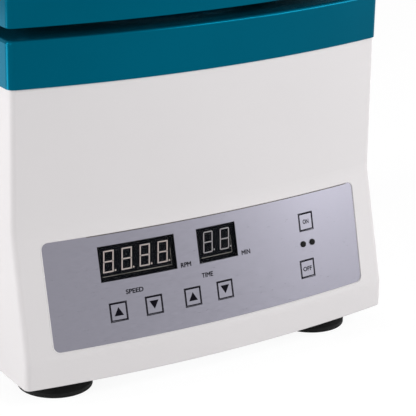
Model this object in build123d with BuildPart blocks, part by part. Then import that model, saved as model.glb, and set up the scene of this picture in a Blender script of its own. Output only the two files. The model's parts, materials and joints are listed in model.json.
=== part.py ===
"""Benchtop laboratory centrifuge with an angle rotor, a hinged lid and a sloping control panel.

Millimetres, +Z up, front towards -Y. The origin is on the table, under the middle of the
overall box, at the bottom of the rubber feet.
"""

import os
from math import atan2, cos, radians, sin, sqrt, tan

from build123d import *

os.makedirs("parts", exist_ok=True)

# Housing: a moulded shell with a bowed front that flares out below a crease
body_width = 280.0
side_taper = 2.8
body_depth = 290.0
band_height = 18.6
slope_height = 79.0
upper_height = 92.8
front_step = 19.0
band_bow = 11.5
crease_bow = 10.2
top_bow = 15.0
wall = 3.0
corner_radius = 4.5
crease_radius = 25.0
band_radius = 8.0
hem_radius = 1.2

# Deck and lid
deck_height = 30.0
deck_overhang = 0.8
deck_side_overhang = 1.1
deck_wall = 3.0
deck_corner_radius = 5.6
deck_edge_radius = 2.0
deck_lip = 6.0
lip_thickness = 2.0
lip_play = 0.6
lid_gap = 7.7
lid_edge_height = 23.0
lid_wall = 2.5
lid_edge_radius = 5.0
pad_inset = 24.0
pad_rise = 5.0
pad_radius = 4.0
pad_corner_radius = 20.0
liner_thickness = 2.0
liner_step = 0.6
liner_boss_radius = 5.0
liner_boss_inset = 20.0

# Feet and base plate
foot_height = 15.0
foot_radius = 24.5
foot_neck_radius = 15.0
foot_rim = 3.0
foot_shoulder = 9.0
foot_flare = 1.0
foot_floor = 8.0
foot_side_inset = 38.0
foot_front_inset = 14.0
foot_rear_inset = 34.0
plate_thickness = 2.0
base_boss_radius = 6.0
base_boss_height = 26.0
base_boss_inset = 13.0
screw_radius = 2.0
screw_head_radius = 3.8
screw_head_height = 2.2
screw_length = 12.0
screw_tip = 1.0
nut_thickness = 3.2
floor_vent_ring = 40.0
floor_vent_count = 6
floor_vent_length = 20.0

# Chamber
bowl_side_room = 29.2
bowl_depth = 116.0
bowl_wall = 1.5
bowl_bottom_radius = 22.0
bowl_flange = 7.5
collar_height = 4.0
collar_clearance = 1.0
collar_wall = 8.0
seal_width = 6.5
seal_inset = 0.5
boot_radius = 24.0
boot_height = 9.0
boot_lip = 2.0
boot_hole_radius = 16.0
boot_play = 1.5

# Rotor
tube_tilt = 35.0
sleeve_count = 6
sleeve_radius = 12.5
sleeve_bore_radius = 11.2
sleeve_lip_radius = 15.0
sleeve_lip = 2.0
sleeve_floor = 1.5
sleeve_round = 4.0
sleeve_pitch_radius = 40.0
sleeve_seat_drop = 32.9
head_hub_radius = 19.0
head_rim_radius = 58.0
head_base_edge = 8.0
head_depth = 36.0
hub_drop = 10.0
hub_rise = 4.0
nut_height = 12.0
nut_radius = 10.0
nut_cap = 3.0
nut_chamfer = 1.0
shaft_radius = 5.0
shoulder_radius = 8.0
shoulder_height = 8.0
shaft_play = 1.0
rotor_wall_play = 7.3
rotor_floor_play = 3.8
rotor_edge_play = 22.0

# Motor
motor_radius = 46.0
motor_wall = 2.5
bell_height = 12.0
can_height = 44.0
bearing_radius = 13.0
bearing_height = 8.0
stator_thickness = 9.0
stator_height = 26.0
armature_radius = 32.0
armature_slots = 12
armature_slot_depth = 8.0
armature_slot_width = 4.0
commutator_radius = 11.0
brush_width = 5.0
brush_height = 5.0
brush_length = 28.0
holder_length = 27.0
holder_wall = 2.0
motor_plate_thickness = 4.0
mount_radius = 11.0
mount_height = 24.0
mount_outset = 17.0
plate_margin = 15.0
mount_count = 3
mount_waist = 2.0
bolt_radius = 3.0
bolt_head_radius = 5.5
bolt_head_height = 4.0

# Control panel
panel_side_margin = 19.5
panel_height = 68.0
panel_middle = 71.8
panel_corner = 4.5
panel_thickness = 0.6
panel_recess = 1.0
panel_play = 0.15
window_height = 22.2
window_middle = 87.2
speed_window_width = 54.5
speed_window_x = -56.6
time_window_width = 30.1
time_window_x = 2.4
window_lap = 2.0
window_thickness = 1.0
digit_pitch = 12.7
module_height = 19.0
module_thickness = 8.0
key_size = 11.5
key_gap = 0.5
key_flange = 1.6
key_flange_thickness = 1.0
key_stem_radius = 1.5
key_travel = 0.5
key_row = 56.6
key_on_row = 87.4
led_radius = 2.1
led_row = 73.2
led_xs = (71.6, 79.5)
led_dome = 0.6
board_depth = 17.0
board_thickness = 1.6
board_boss_radius = 4.0
board_boss_x = 96.0
board_boss_rise = 24.0
board_margin = 6.0
switch_size = 6.0
switch_height = 3.6
switch_bore = 1.5

# Rear fittings
hinge_radius = 3.5
hinge_pin_radius = 1.5
hinge_spacing = 170.0
hinge_width = 44.0
hinge_leaf = 2.0
hinge_leaf_height = 22.0
knuckle_gap = 0.4
pin_head = 1.5
leaf_screw_drop = 14.0
inlet_x = 82.0
inlet_height = 62.0
inlet_width = 27.0
inlet_tall = 19.5
inlet_depth = 20.0
inlet_flange = 2.5
inlet_wall = 1.5
pin_places = ((-7.0, -1.5), (0.0, 2.0), (7.0, -1.5))
pin_width = 2.0
pin_tall = 4.0
pin_length = 14.0
switch_x = 36.0
frame_lip = 1.5
frame_wall = 1.2
frame_depth = 16.0
rocker_width = 13.0
rocker_tall = 21.0
rocker_play = 0.8
rocker_tilt = 9.0
rocker_sink = 1.0
rocker_rise = 4.0
rocker_dish = 1.4
rocker_skirt = 1.0
rocker_keel = 6.0
rocker_pin_radius = 1.2
rocker_pin_bite = 0.8
vent_count = 7
vent_length = 62.0
vent_width = 3.0
vent_pitch = 8.0
vent_x = -62.0
vent_bottom = 50.0

# Electronics
electronics_margin = 17.0
electronics_play = 3.0
electronics_y = 40.0
power_board_depth = 90.0
standoff_height = 8.0
standoff_radius = 3.0
transformer_overlap = 2.0
transformer_depth = 40.0
transformer_height = 42.0
coil_margin = 6.0
heat_sink_base = 6.0
heat_sink_fin = 20.0
heat_sink_height = 30.0
capacitor_radius = 8.0
capacitor_height = 25.0

# Clearances
fit = 0.05
slip = 0.15
seat = 0.3

# Heights above the table
housing_bottom = foot_height
band_top = housing_bottom + band_height
crease = band_top + slope_height
housing_top = crease + upper_height
deck_top = housing_top + deck_height
lid_bottom = deck_top + lid_gap
lid_edge_top = lid_bottom + lid_edge_height
liner_bottom = lid_bottom + liner_step
liner_top = liner_bottom + liner_thickness
plate_top = housing_bottom + plate_thickness
mount_top = plate_top + mount_height
motor_bottom = mount_top + motor_plate_thickness
can_bottom = motor_bottom + bell_height
can_top = can_bottom + can_height
stator_bottom = can_bottom + brush_height + 2 * holder_wall + wall
bowl_top = deck_top + collar_height + bowl_wall
bowl_floor = bowl_top - bowl_depth
seal_height = liner_bottom - seat - bowl_top
sleeve_seat_height = bowl_top - sleeve_seat_drop
head_bottom = sleeve_seat_height - head_depth
hub_bottom = head_bottom - hub_drop

# Widths and radii that follow the housing's width
top_width = body_width - 2 * side_taper
panel_width = body_width - 2 * panel_side_margin
bowl_radius = top_width / 2 - bowl_side_room
head_base_radius = bowl_radius - rotor_edge_play
mount_pitch_radius = motor_radius + mount_outset
plate_radius = mount_pitch_radius + plate_margin
power_board_width = body_width / 2 - electronics_margin - electronics_play - plate_radius
electronics_x = body_width / 2 - electronics_margin - power_board_width / 2
transformer_width = power_board_width + 2 * transformer_overlap

# Sleeves: as long as both the bowl's wall and its floor allow
sleeve_lean = radians(tube_tilt)
wall_room = bowl_radius - rotor_wall_play - sleeve_radius * cos(sleeve_lean) - sleeve_pitch_radius
floor_room = sleeve_seat_height - sleeve_radius * sin(sleeve_lean) - rotor_floor_play - bowl_floor
sleeve_length = min(wall_room / sin(sleeve_lean), floor_room / cos(sleeve_lean))

# Depth stations: the overall box is centred on the origin
back_reach = deck_overhang + 2 * hinge_radius
front = (front_step + band_bow - body_depth - back_reach) / 2
back = front + body_depth
chamber_y = (front - top_bow + back) / 2

# Forms that several pieces share
rim_width = top_width + 2 * deck_side_overhang
slope_angle = atan2(front_step, slope_height)
outward = (0, -cos(slope_angle), sin(slope_angle))
front_plane = Plane.XZ.offset(-front - 2 * wall)
front_reach = front_step + band_bow + 4 * wall
rear_plane = Plane.XZ.offset(-back)
chamber_plane = Plane(origin=(0, chamber_y, 0), x_dir=(1, 0, 0), z_dir=(0, -1, 0))
chamber_axis = Axis((0, chamber_y, 0), (0, 0, 1))
collar_radius = bowl_radius + bowl_wall + collar_clearance
boot_bore = shaft_radius + boot_play

# Places of repeated pieces
base_boss_x = body_width / 2 - wall - base_boss_inset
base_boss_ys = (front - front_step + wall + base_boss_inset, back - wall - base_boss_inset)
base_boss_places = [(x, y) for x in (-base_boss_x, base_boss_x) for y in base_boss_ys]
foot_ys = {"front": front + foot_front_inset, "rear": back - foot_rear_inset}
foot_x = body_width / 2 - foot_side_inset
foot_xs = {"left": -foot_x, "right": foot_x}
foot_names = [f"foot_{end}_{side}" for end in foot_ys for side in foot_xs]
foot_places = [(x, y) for y in foot_ys.values() for x in foot_xs.values()]
mount_angles = [radians(90 + 360 * step / mount_count) for step in range(mount_count)]
mount_places = [
    (mount_pitch_radius * cos(angle), chamber_y + mount_pitch_radius * sin(angle))
    for angle in mount_angles
]
holder_x = motor_radius - motor_wall - holder_length / 2 - holder_wall
brush_x = commutator_radius + seat + brush_length / 2
liner_boss_x = rim_width / 2 - liner_boss_inset
liner_boss_ys = (front - deck_overhang + liner_boss_inset, back + deck_overhang - liner_boss_inset)
liner_boss_places = [(x, y) for x in (-liner_boss_x, liner_boss_x) for y in liner_boss_ys]
board_boss_places = [
    (x, panel_middle + rise)
    for x in (-board_boss_x, board_boss_x)
    for rise in (-board_boss_rise, board_boss_rise)
]
board_width = 2 * (board_boss_x + board_margin)
board_tall = 2 * (board_boss_rise + board_margin)

# Panel: keys by name with their places, windows with place and width
keys = {
    "key_speed_up": (-74.4, key_row),
    "key_speed_down": (-49.1, key_row),
    "key_time_up": (-20.5, key_row),
    "key_time_down": (4.3, key_row),
    "key_on": (75.9, key_on_row),
    "key_off": (73.2, key_row),
}
windows = {
    "speed": (speed_window_x, speed_window_width),
    "time": (time_window_x, time_window_width),
}
digits = {"speed": 4, "time": 2}
key_opening = key_size + 2 * key_gap
stem_rest = switch_height - switch_bore + key_travel + seat
pane_height = window_height + 2 * window_lap
pane_front = panel_recess + fit

# Hinge: the axis lies behind the gap between deck and lid
hinge_height = deck_top + lid_gap / 2
hinge_axis = (back + deck_overhang + hinge_radius, hinge_height)
hinge_plane = Plane(
    origin=(0, back + deck_overhang, hinge_height), x_dir=(1, 0, 0), z_dir=(0, -1, 0)
)
hinge_xs = (-hinge_spacing / 2, hinge_spacing / 2)
leaf_start = hinge_radius + knuckle_gap
leaf_screw_xs = [x + side * hinge_width / 4 for x in hinge_xs for side in (-1, 1)]
knuckle_pitch = hinge_width / 3
knuckle = knuckle_pitch - knuckle_gap

# Power switch: the rocker is drawn in its off position
frame_width = rocker_width + 2 * rocker_play + 2 * frame_wall
frame_tall = rocker_tall + 2 * rocker_play + 2 * frame_wall
rocker_pivot = (back - rocker_sink, inlet_height)
rocker_pin_reach = rocker_width / 2 + rocker_play + rocker_pin_bite
rocker_plane = Plane(
    origin=(switch_x, back - rocker_sink, inlet_height),
    x_dir=(0, cos(radians(rocker_tilt)), sin(radians(rocker_tilt))),
    z_dir=(1, 0, 0),
)


def save(piece, name):
    """Label a finished piece and write it under its own name."""
    piece.part.label = name
    export_step(piece.part, f"parts/{name}.step")


def width_at(height):
    """Housing width, which tapers towards the top."""
    share = (height - housing_bottom) / (housing_top - housing_bottom)
    return body_width + (top_width - body_width) * share


def bowed(width, front_y, back_y, bow, height, back_bow=0.0):
    """Outline with a bowed front, square corners and a straight or bowed back."""
    half = width / 2
    with BuildSketch(Plane.XY.offset(height)) as outline:
        with BuildLine():
            ThreePointArc((-half, front_y), (0, front_y - bow), (half, front_y))
            Line((half, front_y), (half, back_y))
            if back_bow:
                ThreePointArc((half, back_y), (0, back_y - back_bow), (-half, back_y))
            else:
                Line((half, back_y), (-half, back_y))
            Line((-half, back_y), (-half, front_y))
        make_face()
    return outline.sketch


def housing_sections(inset):
    """Outlines of the flared housing from the bottom up, drawn in by an inset on every side."""
    stations = (
        (housing_bottom, front_step, band_bow),
        (band_top, front_step, band_bow),
        (crease, 0, crease_bow),
        (housing_top, 0, top_bow),
    )
    return [
        bowed(width_at(height) - 2 * inset, front - step + inset, back - inset, bow, height)
        for height, step, bow in stations
    ]


def slope_sections(outer, inner):
    """Outlines of a layer of the sloping front, between two depths behind its face."""
    stations = ((band_top, front_step, band_bow), (crease, 0, crease_bow))
    return [
        bowed(width_at(height), front - step + outer, front - step + inner, bow, height, bow)
        for height, step, bow in stations
    ]


def slope_y(x, height):
    """Where the sloping front face lies at a given x and height."""
    share = (crease - height) / slope_height
    bow = crease_bow + (band_bow - crease_bow) * share
    half = width_at(height) / 2
    radius = (half**2 + bow**2) / (2 * bow)
    return front - front_step * share - (sqrt(radius**2 - x**2) - (radius - bow))


def panel_plane(x, height):
    """Plane at a point of the sloping front, facing out along the panel's normal."""
    return Plane(origin=(x, slope_y(x, height), height), x_dir=(1, 0, 0), z_dir=outward)


def tangent_plane(x, height):
    """Plane at a point of the sloping front that also follows its bow."""
    lean = (slope_y(x + 1, height) - slope_y(x - 1, height)) / 2
    along = Vector(1, lean, 0)
    up = Vector(0, sin(slope_angle), cos(slope_angle))
    return Plane(origin=(x, slope_y(x, height), height), x_dir=along, z_dir=along.cross(up))


def to_board(x, height):
    """Distance from the panel surface at a point to the face of the display board."""
    middle = slope_y(0, panel_middle)
    inward = (slope_y(x, height) - middle) * cos(slope_angle)
    return board_depth - inward + (height - panel_middle) * sin(slope_angle)


def key_seat(x, height):
    """Depth of a key's flange, just behind the inside of the wall."""
    reach = key_size / 2 + key_flange
    lean = max(slope_y(x + side * reach, height) - slope_y(x, height) for side in (-1, 1))
    return (wall + lean) * cos(slope_angle) + seat


def front_edge(part, height):
    """The front edge of a form at a given height."""
    return part.edges().filter_by_position(Axis.Z, height - 0.2, height + 0.2).sort_by(Axis.Y)[0]


def upright_edges(part):
    """The edges that run up the four outer corners."""
    upright = part.edges().filter_by(lambda edge: abs(edge.tangent_at(0.5).Z) > 0.9)
    return upright.filter_by(lambda edge: abs(edge.center().X) > top_width / 2 - wall)


def rim_outline(inset, height):
    """Outline of the deck and the lid, drawn in by an inset."""
    near = front - deck_overhang + inset
    return bowed(rim_width - 2 * inset, near, back + deck_overhang - inset, top_bow, height)


def lip_outline(inset, height):
    """Outline of the deck's lip, which drops inside the housing."""
    step = wall + lip_play + inset
    return bowed(top_width - 2 * step, front + step, back - step, top_bow, height)


def pane_width(width):
    """Width of the pane behind a window opening."""
    return width + 2 * window_lap


def module_depth(x, width):
    """Depth of a digit module's face, clear of the bowed pane in front of it."""
    half = pane_width(width) / 2
    ends = (slope_y(x - half, window_middle) + slope_y(x + half, window_middle)) / 2
    sag = ends - slope_y(x, window_middle)
    return (pane_front + window_thickness + sag) * cos(slope_angle) + seat


def dish_height(radius):
    """Height of the rotor's dished top at a radius, square to the tilted tubes."""
    return sleeve_seat_height + (radius - sleeve_pitch_radius) * tan(sleeve_lean)


def sleeve_plane(number):
    """Plane at a sleeve's seat, facing up along the sleeve and in towards the rotor's axis."""
    turn = radians(90 + 360 * number / sleeve_count)
    return Plane(
        origin=(
            sleeve_pitch_radius * cos(turn),
            chamber_y + sleeve_pitch_radius * sin(turn),
            sleeve_seat_height,
        ),
        x_dir=(-sin(turn), cos(turn), 0),
        z_dir=(-sin(sleeve_lean) * cos(turn), -sin(sleeve_lean) * sin(turn), cos(sleeve_lean)),
    )


hub_top = dish_height(head_hub_radius) + hub_rise
shaft_top = hub_top + nut_height - nut_cap - seat
sleeve_planes = [sleeve_plane(number) for number in range(sleeve_count)]

# Space that the panel takes out of the sloping front
with BuildPart() as panel_space:
    loft(sections=slope_sections(-wall, panel_recess), ruled=True)
    with BuildSketch(front_plane):
        with Locations((0, panel_middle)):
            RectangleRounded(
                panel_width + 2 * panel_play, panel_height + 2 * panel_play, panel_corner
            )
    extrude(amount=front_reach, mode=Mode.INTERSECT)

# Housing: bowed, flared shell, open at the top and the bottom
with BuildPart() as housing:
    loft(sections=housing_sections(0), ruled=True)
    fillet(front_edge(housing.part, crease), crease_radius)
    fillet(front_edge(housing.part, band_top), band_radius)
    fillet(upright_edges(housing.part), corner_radius)
    fillet(housing.faces().sort_by(Axis.Z)[0].edges(), hem_radius)
    loft(sections=housing_sections(wall), ruled=True, mode=Mode.SUBTRACT)
    # Corner bosses, joined to the side walls, take the base plate's screws
    with BuildSketch(Plane.XY.offset(plate_top)):
        with Locations(*base_boss_places):
            Circle(base_boss_radius)
        for x, y in base_boss_places:
            with Locations((x + (base_boss_inset / 2 if x > 0 else -base_boss_inset / 2), y)):
                Rectangle(base_boss_inset, wall)
    extrude(amount=base_boss_height)
    with BuildSketch(Plane.XY.offset(plate_top)):
        with Locations(*base_boss_places):
            Circle(screw_radius + fit)
    extrude(amount=screw_length, mode=Mode.SUBTRACT)
    # Bosses that carry the display board behind the slope
    for x, height in board_boss_places:
        reach = to_board(x, height)
        with BuildSketch(panel_plane(x, height).offset(-reach)):
            Circle(board_boss_radius)
        extrude(amount=reach - wall / 2)
    # Panel recess, display windows, key openings and indicator holes
    add(panel_space.part, mode=Mode.SUBTRACT)
    with BuildSketch(front_plane):
        for x, width in windows.values():
            with Locations((x, window_middle)):
                Rectangle(pane_width(width) + 2 * seat, pane_height + 2 * seat)
    extrude(amount=front_reach, mode=Mode.SUBTRACT)
    for x, height in keys.values():
        with BuildSketch(panel_plane(x, height)):
            Rectangle(key_opening, key_opening)
        extrude(amount=2 * wall, both=True, mode=Mode.SUBTRACT)
    for x in led_xs:
        with BuildSketch(panel_plane(x, led_row)):
            Circle(led_radius + fit)
        extrude(amount=2 * wall, both=True, mode=Mode.SUBTRACT)
    # Rear openings: mains inlet, power switch and cooling slots
    with BuildSketch(rear_plane):
        with Locations((inlet_x, inlet_height)):
            Rectangle(inlet_width + 2 * fit, inlet_tall + 2 * fit)
        with Locations((switch_x, inlet_height)):
            Rectangle(frame_width + 2 * fit, frame_tall + 2 * fit)
        for row in range(vent_count):
            with Locations((vent_x, vent_bottom + row * vent_pitch)):
                SlotOverall(vent_length, vent_width)
    extrude(amount=2 * wall, both=True, mode=Mode.SUBTRACT)
save(housing, "housing")

# Deck: the coloured rim that closes the housing and carries the chamber
with BuildPart() as top_deck:
    extrude(rim_outline(0, housing_top), amount=deck_height)
    fillet(upright_edges(top_deck.part), deck_corner_radius)
    fillet(top_deck.faces().sort_by(Axis.Z)[-1].edges(), deck_edge_radius)
    extrude(
        rim_outline(deck_wall, housing_top), amount=deck_height - deck_wall, mode=Mode.SUBTRACT
    )
    # Lip that drops inside the housing's top edge
    extrude(rim_outline(deck_wall - fit, housing_top), amount=deck_lip / 2)
    extrude(lip_outline(0, housing_top), amount=-deck_lip)
    lip_hollow = lip_outline(lip_thickness, housing_top - deck_lip)
    extrude(lip_hollow, amount=1.5 * deck_lip, mode=Mode.SUBTRACT)
    # Raised collar round the chamber opening
    with BuildSketch(Plane.XY.offset(deck_top - deck_wall)):
        with Locations((0, chamber_y)):
            Circle(collar_radius + collar_wall)
    extrude(amount=deck_wall + collar_height)
    with BuildSketch(Plane.XY.offset(deck_top - deck_wall)):
        with Locations((0, chamber_y)):
            Circle(collar_radius)
    extrude(amount=deck_wall + collar_height, mode=Mode.SUBTRACT)
    with BuildSketch(hinge_plane.offset(-2 * deck_wall)):
        with Locations(*[(x, -leaf_screw_drop) for x in leaf_screw_xs]):
            Circle(screw_radius + fit)
    extrude(amount=4 * deck_wall, mode=Mode.SUBTRACT)
save(top_deck, "top_deck")

# Base plate: pressed steel floor, screwed to the corner bosses
with BuildPart() as base_plate:
    extrude(
        bowed(
            body_width - 2 * wall - 2 * seat,
            front - front_step + wall + seat,
            back - wall - seat,
            band_bow,
            housing_bottom,
        ),
        amount=plate_thickness,
    )
    with BuildSketch(Plane.XY.offset(housing_bottom)):
        with Locations(*base_boss_places, *foot_places, *mount_places):
            Circle(screw_radius + fit)
        with Locations((0, chamber_y)):
            with PolarLocations(floor_vent_ring, floor_vent_count):
                SlotOverall(floor_vent_length, vent_width)
    extrude(amount=plate_thickness, mode=Mode.SUBTRACT)
save(base_plate, "base_plate")

# Feet: rubber suction cups
for name, (x, y) in zip(foot_names, foot_places):
    with BuildPart() as foot:
        with BuildSketch(Plane(origin=(x, y, 0), x_dir=(1, 0, 0), z_dir=(0, -1, 0))):
            with BuildLine():
                Polyline(
                    (foot_radius - foot_rim, 0),
                    (foot_radius, 0),
                    (foot_radius, foot_rim),
                    (foot_neck_radius + foot_flare, foot_shoulder),
                    (foot_neck_radius, foot_height),
                    (screw_radius + fit, foot_height),
                    (screw_radius + fit, foot_floor),
                    (screw_head_radius + seat, foot_floor),
                    (screw_head_radius + seat, foot_rim),
                    close=True,
                )
            make_face()
        revolve(axis=Axis((x, y, 0), (0, 0, 1)))
    save(foot, name)

# Foot screws with their nuts above the base plate
with BuildPart() as foot_screws:
    with BuildSketch(Plane.XY.offset(foot_floor - screw_head_height)):
        with Locations(*foot_places):
            Circle(screw_head_radius)
    extrude(amount=screw_head_height)
    with BuildSketch(Plane.XY.offset(foot_floor)):
        with Locations(*foot_places):
            Circle(screw_radius)
    extrude(amount=plate_top + nut_thickness + screw_tip - foot_floor)
    with BuildSketch(Plane.XY.offset(plate_top)):
        with Locations(*foot_places):
            RegularPolygon(screw_head_radius, 6)
    extrude(amount=nut_thickness)
save(foot_screws, "foot_screws")

# Base screws, up through the plate into the corner bosses
with BuildPart() as base_screws:
    with BuildSketch(Plane.XY.offset(housing_bottom)):
        with Locations(*base_boss_places):
            Circle(screw_head_radius)
    extrude(amount=-screw_head_height)
    with BuildSketch(Plane.XY.offset(housing_bottom)):
        with Locations(*base_boss_places):
            Circle(screw_radius)
    extrude(amount=screw_length)
save(base_screws, "base_screws")

# Chamber bowl: spun metal, hung by its flange on the collar
with BuildPart() as chamber_bowl:
    with BuildSketch(chamber_plane) as bowl_profile:
        with BuildLine():
            Polyline(
                (boot_hole_radius, bowl_floor),
                (bowl_radius, bowl_floor),
                (bowl_radius, bowl_top),
                (bowl_radius + bowl_wall + bowl_flange, bowl_top),
                (bowl_radius + bowl_wall + bowl_flange, bowl_top - bowl_wall),
                (bowl_radius + bowl_wall, bowl_top - bowl_wall),
                (bowl_radius + bowl_wall, bowl_floor - bowl_wall),
                (boot_hole_radius, bowl_floor - bowl_wall),
                close=True,
            )
        make_face()
        for radius in (bowl_bottom_radius + bowl_wall, bowl_bottom_radius):
            outer = bowl_profile.vertices().filter_by(lambda corner: corner.X > bowl_radius - fit)
            fillet(outer.sort_by(Axis.Y)[0], radius)
    revolve(axis=chamber_axis)
save(chamber_bowl, "chamber_bowl")

# Rubber ring on the bowl's flange, which the closed lid presses on
with BuildPart() as chamber_seal:
    with BuildSketch(Plane.XY.offset(bowl_top)):
        with Locations((0, chamber_y)):
            Circle(bowl_radius + bowl_wall + seal_width)
            Circle(bowl_radius + bowl_wall - seal_inset, mode=Mode.SUBTRACT)
    extrude(amount=seal_height)
    chamfer(chamber_seal.faces().sort_by(Axis.Z)[-1].edges(), seal_height / 4)
save(chamber_seal, "chamber_seal")

# Rubber boot that closes the bowl's centre hole round the turning shaft
with BuildPart() as shaft_boot:
    with BuildSketch(chamber_plane):
        with BuildLine():
            Polyline(
                (boot_bore, bowl_floor - bowl_wall - boot_lip),
                (boot_hole_radius - fit, bowl_floor - bowl_wall - boot_lip),
                (boot_hole_radius - fit, bowl_floor),
                (boot_radius, bowl_floor),
                (boot_radius, bowl_floor + boot_lip),
                (boot_bore + boot_lip, bowl_floor + boot_height),
                (boot_bore, bowl_floor + boot_height),
                close=True,
            )
        make_face()
    revolve(axis=chamber_axis)
save(shaft_boot, "shaft_boot")

# Motor plate: disc on three rubber mounts
with BuildPart() as motor_plate:
    with BuildSketch(Plane.XY.offset(mount_top)):
        with Locations((0, chamber_y)):
            Circle(plate_radius)
            Circle(bearing_radius, mode=Mode.SUBTRACT)
        with Locations(*mount_places):
            Circle(bolt_radius + fit, mode=Mode.SUBTRACT)
    extrude(amount=motor_plate_thickness)
save(motor_plate, "motor_plate")

with BuildPart() as vibration_mounts:
    for x, y in mount_places:
        with BuildSketch(Plane(origin=(x, y, plate_top), x_dir=(1, 0, 0), z_dir=(0, -1, 0))):
            with BuildLine():
                Line((bolt_radius + fit, 0), (mount_radius, 0))
                ThreePointArc(
                    (mount_radius, 0),
                    (mount_radius - mount_waist, mount_height / 2),
                    (mount_radius, mount_height),
                )
                Line((mount_radius, mount_height), (bolt_radius + fit, mount_height))
                Line((bolt_radius + fit, mount_height), (bolt_radius + fit, 0))
            make_face()
        revolve(axis=Axis((x, y, 0), (0, 0, 1)))
save(vibration_mounts, "vibration_mounts")

with BuildPart() as mount_bolts:
    with BuildSketch(Plane.XY.offset(plate_top)):
        with Locations(*mount_places):
            Circle(bolt_radius)
    extrude(amount=mount_height + motor_plate_thickness)
    with BuildSketch(Plane.XY.offset(mount_top + motor_plate_thickness)):
        with Locations(*mount_places):
            RegularPolygon(bolt_head_radius, 6)
    extrude(amount=bolt_head_height)
save(mount_bolts, "mount_bolts")

# Motor: lower bell with its bearing pocket and two brush holders
with BuildPart() as motor_lower_bell:
    with BuildSketch(Plane.XY.offset(motor_bottom)):
        with Locations((0, chamber_y)):
            Circle(motor_radius)
    extrude(amount=bell_height)
    with BuildSketch(Plane.XY.offset(can_bottom)):
        with Locations((holder_x, chamber_y), (-holder_x, chamber_y)):
            Rectangle(holder_length, brush_width + 2 * holder_wall)
    extrude(amount=brush_height + 2 * holder_wall)
    with BuildSketch(Plane.YZ):
        with Locations((chamber_y, can_bottom + holder_wall + brush_height / 2)):
            Rectangle(brush_width + 2 * fit, brush_height + 2 * fit)
    extrude(amount=motor_radius, both=True, mode=Mode.SUBTRACT)
    with BuildSketch(Plane.XY.offset(can_bottom)):
        with Locations((0, chamber_y)):
            Circle(bearing_radius + fit)
    extrude(amount=-bearing_height, mode=Mode.SUBTRACT)
    with BuildSketch(Plane.XY.offset(can_bottom)):
        with Locations((0, chamber_y)):
            Circle(shaft_radius + shaft_play)
    extrude(amount=-bell_height, mode=Mode.SUBTRACT)
save(motor_lower_bell, "motor_lower_bell")

with BuildPart() as motor_can:
    with BuildSketch(Plane.XY.offset(can_bottom)):
        with Locations((0, chamber_y)):
            Circle(motor_radius)
            Circle(motor_radius - motor_wall, mode=Mode.SUBTRACT)
    extrude(amount=can_height)
save(motor_can, "motor_can")

with BuildPart() as motor_upper_bell:
    with BuildSketch(Plane.XY.offset(can_top)):
        with Locations((0, chamber_y)):
            Circle(motor_radius)
    extrude(amount=bell_height)
    chamfer(motor_upper_bell.faces().sort_by(Axis.Z)[-1].edges(), bell_height / 4)
    with BuildSketch(Plane.XY.offset(can_top)):
        with Locations((0, chamber_y)):
            Circle(bearing_radius + fit)
    extrude(amount=bearing_height, mode=Mode.SUBTRACT)
    with BuildSketch(Plane.XY.offset(can_top)):
        with Locations((0, chamber_y)):
            Circle(shaft_radius + shaft_play)
    extrude(amount=bell_height, mode=Mode.SUBTRACT)
save(motor_upper_bell, "motor_upper_bell")

with BuildPart() as motor_stator:
    with BuildSketch(Plane.XY.offset(stator_bottom)):
        with Locations((0, chamber_y)):
            Circle(motor_radius - motor_wall - fit)
            Circle(motor_radius - motor_wall - stator_thickness, mode=Mode.SUBTRACT)
    extrude(amount=stator_height)
save(motor_stator, "motor_stator")

with BuildPart() as motor_bearings:
    with BuildSketch(Plane.XY.offset(can_bottom - bearing_height), Plane.XY.offset(can_top)):
        with Locations((0, chamber_y)):
            Circle(bearing_radius)
            Circle(shaft_radius + fit, mode=Mode.SUBTRACT)
    extrude(amount=bearing_height)
save(motor_bearings, "motor_bearings")

with BuildPart() as carbon_brushes:
    with BuildSketch(Plane.XY.offset(can_bottom + holder_wall)):
        with Locations((brush_x, chamber_y), (-brush_x, chamber_y)):
            Rectangle(brush_length, brush_width)
    extrude(amount=brush_height)
save(carbon_brushes, "carbon_brushes")

# Turning group: shaft, armature, commutator, rotor head, sleeves and nut
with BuildPart() as motor_shaft:
    with BuildSketch(Plane.XY.offset(motor_bottom + shaft_play)):
        with Locations((0, chamber_y)):
            Circle(shaft_radius)
    extrude(amount=shaft_top - motor_bottom - shaft_play)
    with BuildSketch(Plane.XY.offset(hub_bottom - shoulder_height)):
        with Locations((0, chamber_y)):
            Circle(shoulder_radius)
    extrude(amount=shoulder_height)
save(motor_shaft, "motor_shaft")

with BuildPart() as armature:
    with BuildSketch(Plane.XY.offset(stator_bottom)):
        with Locations((0, chamber_y)):
            Circle(armature_radius)
            with PolarLocations(armature_radius, armature_slots):
                Rectangle(armature_slot_depth, armature_slot_width, mode=Mode.SUBTRACT)
            Circle(shaft_radius + fit, mode=Mode.SUBTRACT)
    extrude(amount=stator_height)
save(armature, "armature")

with BuildPart() as commutator:
    with BuildSketch(Plane.XY.offset(can_bottom + shaft_play)):
        with Locations((0, chamber_y)):
            Circle(commutator_radius)
            Circle(shaft_radius + fit, mode=Mode.SUBTRACT)
    extrude(amount=stator_bottom - can_bottom - shaft_play)
save(commutator, "commutator")

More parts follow.
